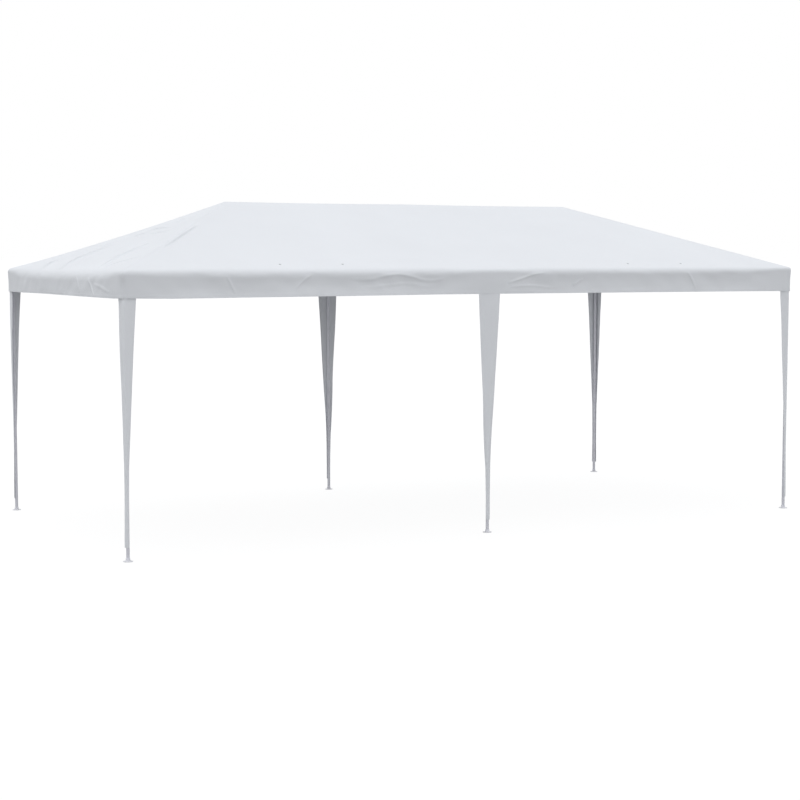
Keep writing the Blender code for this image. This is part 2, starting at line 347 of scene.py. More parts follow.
def smooth(piece, degrees):
    """Round surfaces are shaded smooth and corners stay sharp."""
    hold(piece)
    bpy.ops.object.shade_smooth_by_angle(angle=math.radians(degrees))


def finish_piece(piece, material, slot, *replaced):
    """Every piece rides on the one body, in its material, in place of its CAD nodes; its slot is not used.
    """
    piece.data.materials.clear()
    piece.data.materials.append(material)
    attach(piece, "root")
    if replaced:
        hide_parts(*replaced)
    return piece


def copy_of(piece, name, matrix):
    """A copy with its own mesh, set down by the matrix."""
    made = piece.copy()
    made.data = piece.data.copy()
    made.name = name
    made.data.name = name
    bpy.context.scene.collection.objects.link(made)
    settle(made, matrix)
    return made


def standing_on(place, direction):
    """The matrix that sets a piece modelled along +Z down at a place, along a direction."""
    turn = Vector(direction).to_track_quat("Z", "Y").to_matrix().to_4x4()
    return Matrix.Translation(place) @ turn


FLOOR_SIZE = 3000.0  # the camera sees as far

# Camera at the photograph's place, found from the legs, the eaves and the ridge
CAMERA_PLACE = (-6.969, -13.402, 2.149)
CAMERA_TURN = (math.radians(85.405), 0.0, math.radians(-27.431))
CAMERA_LENS = 80.0
CAMERA_SENSOR = 36.0


def set_camera():
    lens = bpy.data.cameras.new("camera")
    lens.lens = CAMERA_LENS
    lens.sensor_width = CAMERA_SENSOR
    lens.clip_end = FLOOR_SIZE
    camera = bpy.data.objects.new("camera", lens)
    camera.location = CAMERA_PLACE
    camera.rotation_euler = CAMERA_TURN
    bpy.context.scene.collection.objects.link(camera)
    bpy.context.scene.camera = camera


# Studio: a pale floor that runs out to a white surround, under a broad soft light from above
FLOOR_Z = -0.0005
SKY_AT_HORIZON = 0.985
SKY_AT_ZENITH = 0.792
FLOOR_BOUNCE = 0.19
FLOOR_LIGHT = 0.12
FLOOR_SHADE = 0.12
FLOOR_GLOW = 0.91
SOFTBOX_LIGHT = 0.51
SOFTBOX_SPREAD = 60
LIGHT_COLOUR = (0.975, 0.990, 1.015)
SOFTBOX_FROM = (-0.20, 0.0, 1.0)


def set_floor():
    """The floor has one shade for the light that meets it, and another for the camera."""
    floor = primitive("plane", "floor", size=FLOOR_SIZE, location=(0, 0, FLOOR_Z))
    made, tree = new_material("pale studio floor")
    paints = []
    for grey, glow in ((FLOOR_BOUNCE, FLOOR_LIGHT), (FLOOR_SHADE, FLOOR_GLOW)):
        matt = add(tree, "BsdfDiffuse", {"Color": (grey,) * 3 + (1.0,)})
        light = add(tree, "Emission", {"Color": (1.0,) * 4, "Strength": glow})
        paints.append(add(tree, "AddShader", {0: matt, 1: light}))
    seen = add(tree, "LightPath").outputs["Is Camera Ray"]
    both = add(tree, "MixShader", {0: seen, 1: paints[0], 2: paints[1]})
    add(tree, "OutputMaterial", {"Surface": both})
    floor.data.materials.append(made)


def set_light():
    world = bpy.data.worlds.new("white surround")
    bpy.context.scene.world = world
    world.use_nodes = True
    tree = world.node_tree
    tree.nodes.clear()
    split = add(tree, "SeparateXYZ", {0: add(tree, "TexCoord").outputs["Generated"]})
    rise = add(tree, "Math", {0: split.outputs[2], 1: 0.0}, operation="MAXIMUM")
    sky = add(tree, "MapRange", {"Value": rise, "To Min": SKY_AT_HORIZON, "To Max": SKY_AT_ZENITH})
    light = add(tree, "Background", {"Color": (*LIGHT_COLOUR, 1.0), "Strength": sky})
    white = add(tree, "Background", {"Color": (1.0,) * 4})
    seen = add(tree, "LightPath").outputs["Is Camera Ray"]
    add(tree, "OutputWorld", {"Surface": add(tree, "MixShader", {0: seen, 1: light, 2: white})})
    lamp = bpy.data.lights.new("overhead softbox", "SUN")
    lamp.energy = SOFTBOX_LIGHT
    lamp.angle = math.radians(SOFTBOX_SPREAD)
    lamp.color = LIGHT_COLOUR
    softbox = bpy.data.objects.new("overhead softbox", lamp)
    softbox.rotation_euler = Vector(SOFTBOX_FROM).to_track_quat("Z", "Y").to_euler()
    bpy.context.scene.collection.objects.link(softbox)


# The roof sheet and its valance are one surface. Its columns run round the tent and its rings run
# from the hem over the eave to the ridge. Along a side a share runs from -1 to 1, and "up" is metres
# from the eave, negative on the valance and positive on the slope.
CORNER_STEPS = np.array([0.0, 0.005, 0.010, 0.016, 0.023, 0.031, 0.041, 0.053])
RIDGE_ROUND = 0.02
RIDGE_DROP = 0.0038
SAG = np.array([0.009, 0.011, 0.009, 0.013])
EAVE_DROOP = 0.002
# by corner: front left, front right, back right, back left
ROLL_AT_LEGS = np.array([0.034, 0.018, 0.026, 0.030])
HIP_ROUND = np.array([0.022, 0.010, 0.016, 0.016])
HIP_DROP = np.array([0.002, -0.004, 0.003, 0.019])
HIP_REACH = 0.42
CORNER_PUSH = np.array([0.008, 0.001, 0.005, 0.010])
CORNER_LEAN = np.array([0.009, 0.004, 0.005, 0.004])
CORNER_LIFT = np.array([0.000, 0.007, 0.002, -0.003])
CORNER_ROUND = np.array([0.050, 0.014, 0.026, 0.018])
# by side, and by its half with a share below and above 0
ROLL = np.array([(0.055, 0.045), (0.060, 0.060), (0.048, 0.052), (0.070, 0.070)])
OVERHANG = np.array([(0.010, 0.001), (0.030, 0.030), (0.010, 0.014), (0.050, 0.050)])
VALANCE_BOW = np.array([(0.0110, 0.0075), (0.005, 0.005), (0.008, 0.007), (0.002, 0.002)])
# how far the hem is above or below its level, at shares of each side
HEM_SHARES = (-1.0, -0.88, -0.68, -0.40, -0.15, 0.15, 0.50, 0.88, 1.0)
HEM_WAVE = (
    (0.0, -0.006, -0.003, 0.000, 0.004, 0.004, 0.004, 0.002, 0.0),
    (0.0, -0.002, 0.002, 0.003, 0.000, -0.002, 0.001, 0.002, 0.0),
    (0.0, -0.003, -0.001, 0.002, 0.003, 0.001, -0.002, -0.003, 0.0),
    (0.0, -0.002, -0.001, 0.001, 0.002, 0.000, -0.002, -0.004, 0.0),
)
# the way that the sheet goes where an eave tube pushes it, as shares outwards and upwards
PUSHED_OUT, PUSHED_UP = 0.64, 0.77
ROOF_LEAN = math.radians(69)  # of the sheet's normal on the roof
SHEAR = np.array([(1, 0, 0.7), (0, 1, 0.7), (0, 0, 1)])  # slants some of the waves


def unit(value):
    """The value, kept between 0 and 1."""
    return np.clip(value, 0.0, 1.0)


def eased(value, start, end):
    """0 before start, 1 after end, and smooth between them."""
    share = unit((value - start) / (end - start))
    return share * share * (3 - 2 * share)


def near(value, reach):
    """1 where the value is 0 or less, fading to 0 at its reach."""
    return 1 - eased(value, 0.0, reach)


def noise_at(places, wide, tall, seed):
    """Smooth noise from about -1 to 1 at each place, with its scales sideways and upwards."""
    shift = Vector((seed * 7.31, seed * 3.17, seed * 5.73))
    return np.array([noise.noise(Vector(p) + shift) for p in places * np.array((wide, wide, tall))])


# Creases of the sheet that the photograph shows, and like ones on the hidden sides. Each has its
# height outwards, its half width and its path: metres along the side from its middle, and metres up.
CREASES = {
    LEFT: [
        (0.0140, 0.008, [(0.545, 0.004), (0.603, 0.041), (0.680, 0.118), (0.783, 0.232)]),
        (0.0155, 0.008, [
            (0.030, 0.006), (0.073, 0.020), (0.144, 0.083), (0.228, 0.171), (0.280, 0.267),
            (0.308, 0.427), (0.298, 0.580),
        ]),
        (0.0165, 0.008, [
            (-0.775, 0.060), (-0.709, 0.175), (-0.647, 0.255), (-0.609, 0.344), (-0.582, 0.439),
            (-0.545, 0.580),
        ]),
        (0.0065, 0.008, [
            (-0.860, 0.070), (-0.888, 0.144), (-0.948, 0.188), (-1.020, 0.243), (-1.126, 0.302),
        ]),
        (0.0080, 0.009, [(0.480, 0.520), (0.471, 0.592), (0.450, 0.660)]),
        (0.0100, 0.009, [(0.263, 0.740), (0.216, 0.780), (0.135, 0.825)]),
        (0.0100, 0.009, [(0.263, 0.870), (0.181, 0.893), (-0.100, 0.935)]),
        (0.0080, 0.009, [(0.020, 0.795), (-0.123, 0.803), (-0.300, 0.860)]),
        (0.0100, 0.009, [(0.026, 1.033), (-0.002, 1.101)]),
        (0.0055, 0.010, [(-0.790, -0.040), (-0.920, -0.188)]),
        (0.0025, 0.013, [(-0.904, -0.093), (-1.051, -0.108), (-1.154, -0.138), (-1.237, -0.144)]),
        (0.0035, 0.012, [(-0.500, -0.020), (-0.560, -0.080), (-0.602, -0.165)]),
    ],
    FRONT: [
        (0.0135, 0.008, [(-2.500, 0.490), (-2.388, 0.604), (-2.060, 0.980)]),
        (0.0042, 0.009, [(-2.190, -0.030), (-2.151, -0.096), (-2.112, -0.165)]),
        (0.0034, 0.010, [(-1.640, -0.130), (-1.573, -0.067), (-1.500, -0.020)]),
        (0.0034, 0.014, [
            (-1.198, -0.060), (-1.031, -0.075), (-0.906, -0.038), (-0.780, -0.026), (-0.677, -0.052),
            (-0.540, -0.092), (-0.399, -0.069), (-0.347, -0.032),
        ]),
        (0.0018, 0.014, [(-1.116, -0.137), (-0.863, -0.112), (-0.692, -0.100), (-0.521, -0.137)]),
        (0.0036, 0.011, [(0.169, -0.108), (0.278, -0.075), (0.416, -0.034), (0.510, -0.025)]),
        (0.0022, 0.011, [(0.188, -0.138), (0.371, -0.123), (0.576, -0.149)]),
        (0.0030, 0.011, [(0.770, -0.130), (0.862, -0.075)]),
        (0.0045, 0.010, [(1.880, -0.020), (1.935, -0.093), (1.970, -0.165)]),
    ],
    RIGHT: [
        (0.0060, 0.009, [(-0.52, 0.06), (-0.38, 0.27)]),
        (0.0070, 0.009, [(0.30, 0.12), (0.41, 0.33), (0.36, 0.52)]),
        (0.0040, 0.011, [(0.45, -0.06), (0.30, -0.17)]),
    ],
    BACK: [
        (0.0075, 0.009, [(2.42, 0.42), (2.05, 0.86)]),
        (0.0040, 0.010, [(-1.24, -0.05), (-1.16, -0.18)]),
        (0.0040, 0.015, [(0.60, -0.11), (0.86, -0.05), (1.10, -0.10)]),
        (0.0040, 0.010, [(2.02, -0.05), (2.10, -0.17)]),
    ],
}


def beside_crease(along, up, path):
    """How far each place is from a crease, and its share of the crease's length."""
    path = [np.array(p) for p in path]
    for _ in range(2 * (len(path) > 2)):
        # its bends are cut to a soft curve
        cut = [c for a, b in zip(path, path[1:]) for c in (0.75 * a + 0.25 * b, 0.25 * a + 0.75 * b)]
        path = [path[0], *cut[1:-1], path[-1]]
    steps = [np.linalg.norm(b - a) for a, b in zip(path, path[1:])]
    away = np.full(len(along), np.inf)
    share = np.zeros(len(along))
    passed = 0.0
    for start, end, step in zip(path, path[1:], steps):
        line = (end - start) / step
        dx, dy = along - start[0], up - start[1]
        run = np.clip(dx * line[0] + dy * line[1], 0.0, step)
        here = np.hypot(dx - run * line[0], dy - run * line[1])
        nearer = here < away
        away[nearer] = here[nearer]
        share[nearer] = ((passed + run) / sum(steps))[nearer]
        passed += step
    return away, share


def by_corner(side, share, values, reach=1.0):
    """A value that fades along a side from each of its corners, over a share of its length."""
    along = (share + 1) / 2
    first = unit(1 - along / reach)
    last = unit(1 - (1 - along) / reach)
    if reach < 1:
        first, last = first**2 * (3 - 2 * first), last**2 * (3 - 2 * last)
    return values[side] * first + values[(side + 1) % 4] * last


def half_sizes(climb):
    """Half of the roof's length and width, at a share of its rise."""
    return OUT_X + (RIDGE_HALF - OUT_X) * climb, OUT_Y * (1 - climb)


def sheet_places(side, share, up):
    """Where the sheet is, for arrays of side, share along it and metres up."""
    long_side = side % 2 == 0
    half_of_side = (share > 0).astype(int)
    from_corner = 1 - np.abs(share)
    leg_away = np.where(long_side, np.minimum(np.abs(share), from_corner) * OUT_X, from_corner * OUT_Y)
    in_bay = eased(leg_away, 0.09, 0.5)
    bay_share = np.where(long_side, 4 * np.abs(share) * from_corner, 1 - share**2)
    roll_at_legs = by_corner(side, share, ROLL_AT_LEGS)
    roll = roll_at_legs + (ROLL[side, half_of_side] - roll_at_legs) * in_bay
    # the roll over the eave, from straight below it to straight along the slope
    through = unit((up + roll) / (2 * roll))
    rolling = np.abs(up) < roll
    overhang = OVERHANG[side, half_of_side] * bay_share * near(up, 0.5)
    climb = (np.where(rolling, through**2 * roll, np.maximum(up, 0.0)) - overhang) / SLOPE
    below = np.where(rolling, (1 - through) ** 2 * roll, np.maximum(-up, 0.0))
    half_x, half_y = half_sizes(climb)
    half_along = np.where(long_side, half_x, half_y)
    out = np.where(long_side, half_y, half_x)
    # rounded corners and hips
    corner_away = from_corner * half_along
    push = by_corner(side, share, CORNER_PUSH) * near(corner_away, 0.4) * near(up, 0.3)
    lean_out = near(corner_away, 0.12) * near(-up, 0.12) * near(up, 0.12)
    push = push + by_corner(side, share, CORNER_LEAN) * lean_out
    on_roof = eased(up, -0.02, 0.12)
    round_here = by_corner(side, share, CORNER_ROUND) * (1 - on_roof)
    round_here += by_corner(side, share, HIP_ROUND) * on_roof * (1 - 0.5 * unit(climb))
    round_here = np.maximum(np.minimum(round_here, 0.5 * half_y), 1e-6)
    turn = unit((corner_away + round_here) / (2 * round_here))
    rounding = corner_away < round_here
    corner_away = np.where(rounding, turn**2 * round_here, corner_away)
    out = out - np.where(rounding, (1 - turn) ** 2 * round_here, 0.0) + push
    along = np.sign(share) * (half_along - corner_away + push)
    # the ridge is rounded over its tube, and the sheet sags between what carries it
    arch = np.sin(np.pi * unit(climb))
    droop = EAVE_DROOP * in_bay * (1 - eased(up, 0.02, 0.5))
    lift = by_corner(side, share, CORNER_LIFT) * near(corner_away, 0.5) * near(up, 0.8)
    eave_height = EAVE_Z - np.maximum(-climb, 0.0) * RISE - droop + lift
    height = eave_height + np.maximum(climb, 0.0) * RISE - below * (eave_height - HEM_Z) / VALANCE_DEPTH
    ridge_away = (1 - climb) * SLOPE
    height -= 0.5 * RIDGE_ROUND * RISE / SLOPE * unit(1 - ridge_away / RIDGE_ROUND) ** 2
    ridge_share = unit(np.abs(along) / RIDGE_HALF)
    ridge_line = np.where(long_side, np.sin(np.pi * ridge_share) * eased(climb, 0.8, 1.0), 0.0)
    height -= by_corner(side, share, HIP_DROP, HIP_REACH) * arch + RIDGE_DROP * ridge_line
    height -= SAG[side] * bay_share * arch
    hang = unit(below / VALANCE_DEPTH)
    off_tube = np.zeros(len(up))
    for where in range(4):
        here = side == where
        height[here] += hang[here] * np.interp(share[here], HEM_SHARES, HEM_WAVE[where])
        if where in EAVE_PUSH:
            off_tube[here] = np.interp(share[here], PUSH_SHARES, EAVE_PUSH[where])
    # held off the eave tubes and sockets
    off_tube *= 1 - eased(np.abs(up), 0.05, 0.18)
    out = out + PUSHED_OUT * off_tube
    height += PUSHED_UP * off_tube
    upwards = np.array((0.0, 0.0, 1.0))
    places = ALONG[side] * along[:, None] + OUTWARD[side] * out[:, None] + upwards * height[:, None]
    # small moves along the outward normal: bow of the valance, soft waves and creases
    lean = eased(up, -0.02, 0.03) * ROOF_LEAN
    normal = OUTWARD[side] * np.cos(lean)[:, None] + upwards * np.sin(lean)[:, None]
    move = -VALANCE_BOW[side, half_of_side] * np.sin(np.pi * hang) * in_bay
    held = 0.25 + 0.75 * in_bay
    edge_free = eased(corner_away, 0.0, 0.06)
    valance = eased(-up, -0.01, 0.05)
    soft = noise_at(places, 2.4, 7.0, 1)
    small = noise_at(places, 9.0, 15.0, 2)
    broad = noise_at(places, 0.9, 0.9, 3)
    slanted = noise_at(places @ SHEAR, 4.5, 9.0, 4)
    move += valance * held * edge_free * (0.0036 * soft + 0.0045 * slanted + 0.0021 * small)
    move += (1 - valance) * edge_free * arch * (0.0020 * broad + 0.0006 * soft)
    straight = share * np.where(long_side, half_x, half_y)
    slope_up = np.where(up > 0, np.maximum(climb, 0.0) * np.where(long_side, FRONT_SLOPE, END_SLOPE), up)
    for where, creases in CREASES.items():
        here = side == where
        for height_out, width, path in creases:
            away, run = beside_crease(straight[here] * AXIS_RUN[where], slope_up[here], path)
            strength = unit(4 * run * (1 - run)) ** 0.5
            move[here] += height_out * strength * np.exp(-((away / width) ** 2))
    return places + normal * move[:, None]


# How far the eaves are pushed off their tubes, by side, at each of these shares
PUSH_SHARES = np.linspace(-1.0, 1.0, 241)
PUSH_UPS = np.linspace(-0.06, 0.09, 61)
EAVE_PUSH = {}
TUBE_CLEAR = 0.0142
SOCKET_CLEAR = 0.0176
LEG_REACH = 0.03
EVENED_OVER = 9
SPARE = 0.0004


def push_off_tubes():
    """Finds where the eaves come too near to a tube or socket, and by how much."""
    count = len(PUSH_UPS)
    for side in range(4):
        pushes = []
        axis = LEG_X if side % 2 else LEG_Y
        half = OUT_Y if side % 2 else OUT_X
        for share in PUSH_SHARES:
            leg_away = (1 - abs(share)) * half
            if side % 2 == 0:
                leg_away = min(leg_away, abs(share) * half)
            if leg_away < LEG_REACH and abs(share) > 0.5:
                pushes.append(0.0)
                continue
            places = sheet_places(np.full(count, side), np.full(count, share), PUSH_UPS)
            away = np.hypot(places @ OUTWARD[side] - axis, places[:, 2] - EAVE_HUB_Z).min()
            clear = SOCKET_CLEAR + (TUBE_CLEAR - SOCKET_CLEAR) * float(eased(np.array(leg_away), 0.10, 0.20))
            pushes.append(max(clear - away, 0.0))
        padded = np.pad(pushes, EVENED_OVER // 2, mode="edge")
        EAVE_PUSH[side] = np.convolve(padded, np.ones(EVENED_OVER) / EVENED_OVER, mode="valid") + SPARE


# rings at even steps over each part: the valance, the eave, the slope and its top; then the last ones
RING_PARTS = ((-VALANCE_DEPTH, -0.07, 11), (-0.07, 0.07, 21), (0.07, 1.0, 50), (1.0, 1.482, 14))
LAST_RINGS = [1.482, 1.488, 1.494, SLOPE]
RINGS = np.concatenate([*(np.linspace(*part)[:-1] for part in RING_PARTS), LAST_RINGS])
COLUMNS = (200, 80, 120, 130)
CROWDING = 1.0
CROWDED_BESIDE = 0.06
FINE_BESIDE = 0.016
FINE_AT_EYELET = 0.03
FINE_CUTS = 3
COLUMN_STEPS = 2001
MERGED_WITHIN = 0.00002
EYELETS_X = (-1.711, -1.201, 1.376, 1.902)
EYELET_UP = 0.135
EYELET_HOLE = 0.0062
EYELET_CLIMB = EYELET_UP / FRONT_SLOPE
# a ring of the sheet, and below a column for each, run through the eyelets
RINGS[np.abs(RINGS - EYELET_CLIMB * SLOPE).argmin()] = EYELET_CLIMB * SLOPE


def shares_of_columns(side):
    """The columns of a side: close together at its corners, and closer where creases run."""
    half = half_sizes(0.0)[side % 2]
    corner = 1 - CORNER_STEPS / half
    even = np.linspace(-corner[-1], corner[-1], COLUMN_STEPS)
    crowd = np.ones(len(even))
    for _, _, path in CREASES[side]:
        run = [along / half_sizes(max(up, 0.0) / SLOPE)[side % 2] * AXIS_RUN[side] for along, up in path]
        beside = np.maximum(np.maximum(min(run) - even, even - max(run)), 0.0) * half
        crowd += CROWDING * np.exp(-((beside / CROWDED_BESIDE) ** 2))
    crowd = np.minimum(crowd, 1 + CROWDING)
    passed = np.concatenate([[0.0], np.cumsum((crowd[1:] + crowd[:-1]) / 2)])
    middle = np.interp(np.linspace(0, passed[-1], COLUMNS[side]), passed, even)
    if side % 2 == 0:
        for x in EYELETS_X:
            share = x / half_sizes(EYELET_CLIMB)[0] * AXIS_RUN[side]
            middle[np.abs(middle - share).argmin()] = share
    return np.concatenate([-corner[:-1], middle, corner[:-1][::-1]])


def column_lists():
    """The side and the share of each column, once round the tent, with both ends on one corner."""
    sides, shares = [], []
    for side in range(4):
        places = shares_of_columns(side)
        sides += [side] * (len(places) - 1)
        shares += list(places[:-1])
    return np.array(sides + [LEFT]), np.array(shares + [1.0])


def place_vertices(mesh, places):
    mesh.vertices.foreach_set("co", places.astype(np.float32).ravel())


def vertex_of_corners(mesh):
    """The vertex at each face corner."""
    corner = np.zeros(len(mesh.loops), int)
    mesh.loops.foreach_get("vertex_index", corner)
    return corner


def set_map(mesh, name, along, across):
    """Writes one value pair per face corner into a map, in metres."""
    layer = mesh.uv_layers.get(name) or mesh.uv_layers.new(name=name)
    layer.data.foreach_set("uv", np.stack([along, across], axis=1).astype(np.float32).ravel())
    mesh.uv_layers[0].active_render = True


def strip_of_sheet(name, sides, shares, ups):
    """A grid laid over part of the sheet, with its pattern in metres along and up the cloth."""
    columns, rings = len(sides), len(ups)
    made = primitive("grid", name, x_subdivisions=columns - 1, y_subdivisions=rings - 1, size=1.0)
    side = np.tile(sides, rings)
    share = np.tile(shares, rings)
    up = np.repeat(ups, columns)
    mesh = made.data
    place_vertices(mesh, sheet_places(side, share, up))
    for layer, values in (("side", side), ("share", share), ("up", up)):
        mesh.attributes.new(layer, "FLOAT", "POINT").data.foreach_set("value", values.astype(np.float32))
    corner = vertex_of_corners(mesh)
    column = corner % columns
    face_column = np.repeat(column.reshape(-1, 4).min(axis=1), 4)
    face_side = sides[face_column]
    # a column on a corner of the tent starts one side and ends the one before
    ends_side = (column > face_column) & (sides[column] != face_side)
    corner_share = np.where(ends_side, 1.0, shares[column])
    corner_up = ups[corner // columns]
    half = np.where(face_side % 2 == 0, *half_sizes(np.clip(corner_up, 0.0, SLOPE) / SLOPE))
    along = corner_share * half
    set_map(mesh, "UVMap", along, corner_up)
    # the roof is sewn at its hips, and the valance is hemmed
    on_roof = np.repeat(corner_up.reshape(-1, 4).mean(axis=1), 4) > 0
    hip_away = (1 - np.abs(corner_share)) * half
    seam_away = np.where(on_roof, hip_away, corner_up + VALANCE_DEPTH)
    set_map(mesh, "seam", np.where(on_roof, corner_up, along), seam_away)
    mesh.update()
    return made


def open_eyelets(canopy):
    """Cuts a round hole at each eyelet: the nearest vertex goes and its neighbours close in."""
    mesh = bmesh.new()
    mesh.from_mesh(canopy.data)
    middles = []
    for y_side in (-1, 1):
        for x in EYELETS_X:
            target = Vector((x, y_side * half_sizes(EYELET_CLIMB)[1], EAVE_Z + RISE * EYELET_CLIMB))
            nearest = min(mesh.verts, key=lambda v: (v.co - target).length_squared)
            middle = nearest.co.copy()
            facing = nearest.normal.copy()
            ring = {v for face in nearest.link_faces for v in face.verts} - {nearest}
            for v in ring:
                away = (v.co - middle).normalized()
                away = (away - facing * away.dot(facing)).normalized()
                v.co = middle + away * EYELET_HOLE
            bmesh.ops.delete(mesh, geom=[nearest], context="VERTS")
            middles.append((middle, facing))
    mesh.to_mesh(canopy.data)
    mesh.free()
    return middles


def read_layers(mesh):
    """The side, the share and the metres up that each vertex was placed by."""
    layers = []
    for layer in ("side", "share", "up"):
        values = np.zeros(len(mesh.vertices), np.float32)
        mesh.attributes[layer].data.foreach_get("value", values)
        layers.append(values.astype(float))
    return layers[0].round().astype(int), layers[1], layers[2]


def refine_sheet(canopy):
    """Cuts the faces beside creases and eyelets finer, and sets their new vertices on the sheet."""
    mesh = canopy.data
    side, share, up = read_layers(mesh)
    climb = np.clip(up, 0.0, SLOPE) / SLOPE
    long_side = side % 2 == 0
    along = share * np.where(long_side, *half_sizes(climb)) * np.array(AXIS_RUN)[side]
    slope_up = np.where(up > 0, climb * np.where(long_side, FRONT_SLOPE, END_SLOPE), up)
    fine = np.zeros(len(up), bool)
    for where, creases in CREASES.items():
        here = side == where
        for _, _, path in creases:
            fine[here] |= beside_crease(along[here], slope_up[here], path)[0] < FINE_BESIDE
    for x in EYELETS_X:
        fine |= long_side & (np.hypot(along - x, slope_up - EYELET_UP) < FINE_AT_EYELET)
    fine &= np.abs(share) < 1
    edit(canopy)
    bpy.ops.mesh.select_mode(type="FACE")
    bpy.ops.mesh.select_all(action="DESELECT")
    edited = bmesh.from_edit_mesh(mesh)
    for face in edited.faces:
        corners = [v.index for v in face.verts]
        face.select = bool(fine[corners].any() and np.ptp(side[corners]) == 0)
    bmesh.update_edit_mesh(mesh)
    bpy.ops.mesh.subdivide(number_cuts=FINE_CUTS)
    leave_edit()
    place_vertices(mesh, sheet_places(*read_layers(mesh)))
    mesh.update()


def make_canopy():
    push_off_tubes()
    canopy = strip_of_sheet("canopy_sheet", *column_lists(), RINGS)
    refine_sheet(canopy)
    edit(canopy)
    bpy.ops.mesh.remove_doubles(threshold=MERGED_WITHIN)
    leave_edit()
    eyelets = open_eyelets(canopy)
    hold(canopy)
    bpy.ops.object.shade_smooth()
    nodes = [f"{part}_{side}" for part in ("roof", "valance") for side in ("front", "right", "back", "left")]
    finish_piece(canopy, CANOPY_SHEET, "canopy_sheet", *nodes)
    return canopy, eyelets


# The hem: the valance's edge is folded up and stitched, and left open where a middle cover goes on
HEM_WIDTH = 0.022
HEM_THICKNESS = 0.0012
MIDDLE_COVER_HALF = 0.094


def make_hem(name, x_sign):
    """The half of the hem on one end of the tent, from one middle cover to the other."""
    sides, shares = column_lists()
    keep = []
    for index, (side, share) in enumerate(zip(sides, shares)):
        x = {FRONT: share, BACK: -share, RIGHT: 1.0, LEFT: -1.0}[side] * OUT_X
        if x * x_sign > MIDDLE_COVER_HALF:
            keep.append(index)
    if x_sign < 0:
        # the columns start at the front left corner, so this half runs on through it
        keep = [i for i in keep if i >= len(sides) // 2] + [i for i in keep if 0 < i < len(sides) // 2]
    ups = np.linspace(-VALANCE_DEPTH, HEM_WIDTH - VALANCE_DEPTH, 4)
    hem = strip_of_sheet(name, sides[keep], shares[keep], ups)
    modified(hem, "SOLIDIFY", thickness=HEM_THICKNESS, offset=0.0)
    smooth(hem, 50)
    return finish_piece(hem, CANOPY_SHEET, "canopy_sheet")


EYELET_RADIUS = 0.0078
EYELET_RIM = 0.0026
EYELET_FLATTENED = 0.45


def make_eyelet(name, middle, facing):
    """A pressed metal ring through the sheet, flatter than it is wide."""
    sizes = {"major_radius": EYELET_RADIUS, "minor_radius": EYELET_RIM}
    ring = primitive("torus", name, major_segments=32, minor_segments=12, **sizes)
    edit(ring)
    bpy.ops.transform.resize(value=(1.0, 1.0, EYELET_FLATTENED))
    leave_edit()
    settle(ring, standing_on(middle, facing))
    smooth(ring, 60)
    return finish_piece(ring, FASTENER_STEEL, "fastener_metal")


# Leg covers: tapered strips down the outside of the legs, folded round the four corner legs
COVER_TOP_Z = COVER_HIGH.z
COVER_END_Z = COVER_LOW.z
COVER_AWAY = 0.0139
TOP_AWAY = {"front_left": 0.021, "front_right": 0.0180, "back_right": 0.021, "back_left": 0.027}
# what a wing is wider by, on the long side and on the end of the tent
WING_EXTRA = {"front_right": (0.001, 0.0), "front_left": (-0.004, 0.003)}
COVER_THICKNESS = 0.0006
BEHIND_VALANCE = 0.0009
MIDDLE_BEND_RADIUS = 0.02
# widths at heights: of one wing of a corner cover, and of a whole middle cover
CORNER_WIDTHS = [(1.945, 0.106), (1.62, 0.085), (1.12, 0.055), (0.67, 0.030), (0.38, 0.026), (0.10, 0.029)]
MIDDLE_WIDTHS = [(1.945, 0.196), (1.80, 0.183), (1.07, 0.102), (0.50, 0.043), (0.32, 0.036), (0.10, 0.033)]
COVER_COLUMNS = 28
COVER_ROWS = 160


def cover_spots(widths):
    """The share across, the height and the stated width at each vertex of a cover."""
    share = np.tile(np.linspace(-1, 1, COVER_COLUMNS + 1), COVER_ROWS + 1)
    height = np.repeat(np.linspace(COVER_END_Z, COVER_TOP_Z, COVER_ROWS + 1), COVER_COLUMNS + 1)
    return share, height, np.interp(height, [z for z, _ in widths][::-1], [w for _, w in widths][::-1])


def lay_cover(where, places, across, height, edge_away, flipped):
    """A strip of cloth with its vertices at the places and its pattern in metres."""
    name = f"leg_cover_sheet_{where}"
    cover = primitive("grid", name, x_subdivisions=COVER_COLUMNS, y_subdivisions=COVER_ROWS, size=1.0)
    mesh = cover.data
    place_vertices(mesh, places)
    corner = vertex_of_corners(mesh)
    set_map(mesh, "UVMap", across[corner], height[corner])
    set_map(mesh, "seam", height[corner], edge_away[corner])
    mesh.update()
    if flipped:
        edit(cover)
        bpy.ops.mesh.flip_normals()
        leave_edit()
    modified(cover, "SOLIDIFY", thickness=COVER_THICKNESS, offset=0.0)
    smooth(cover, 60)
    return finish_piece(cover, COVER_SHEET, "leg_cover_sheet", f"leg_cover_{where}")


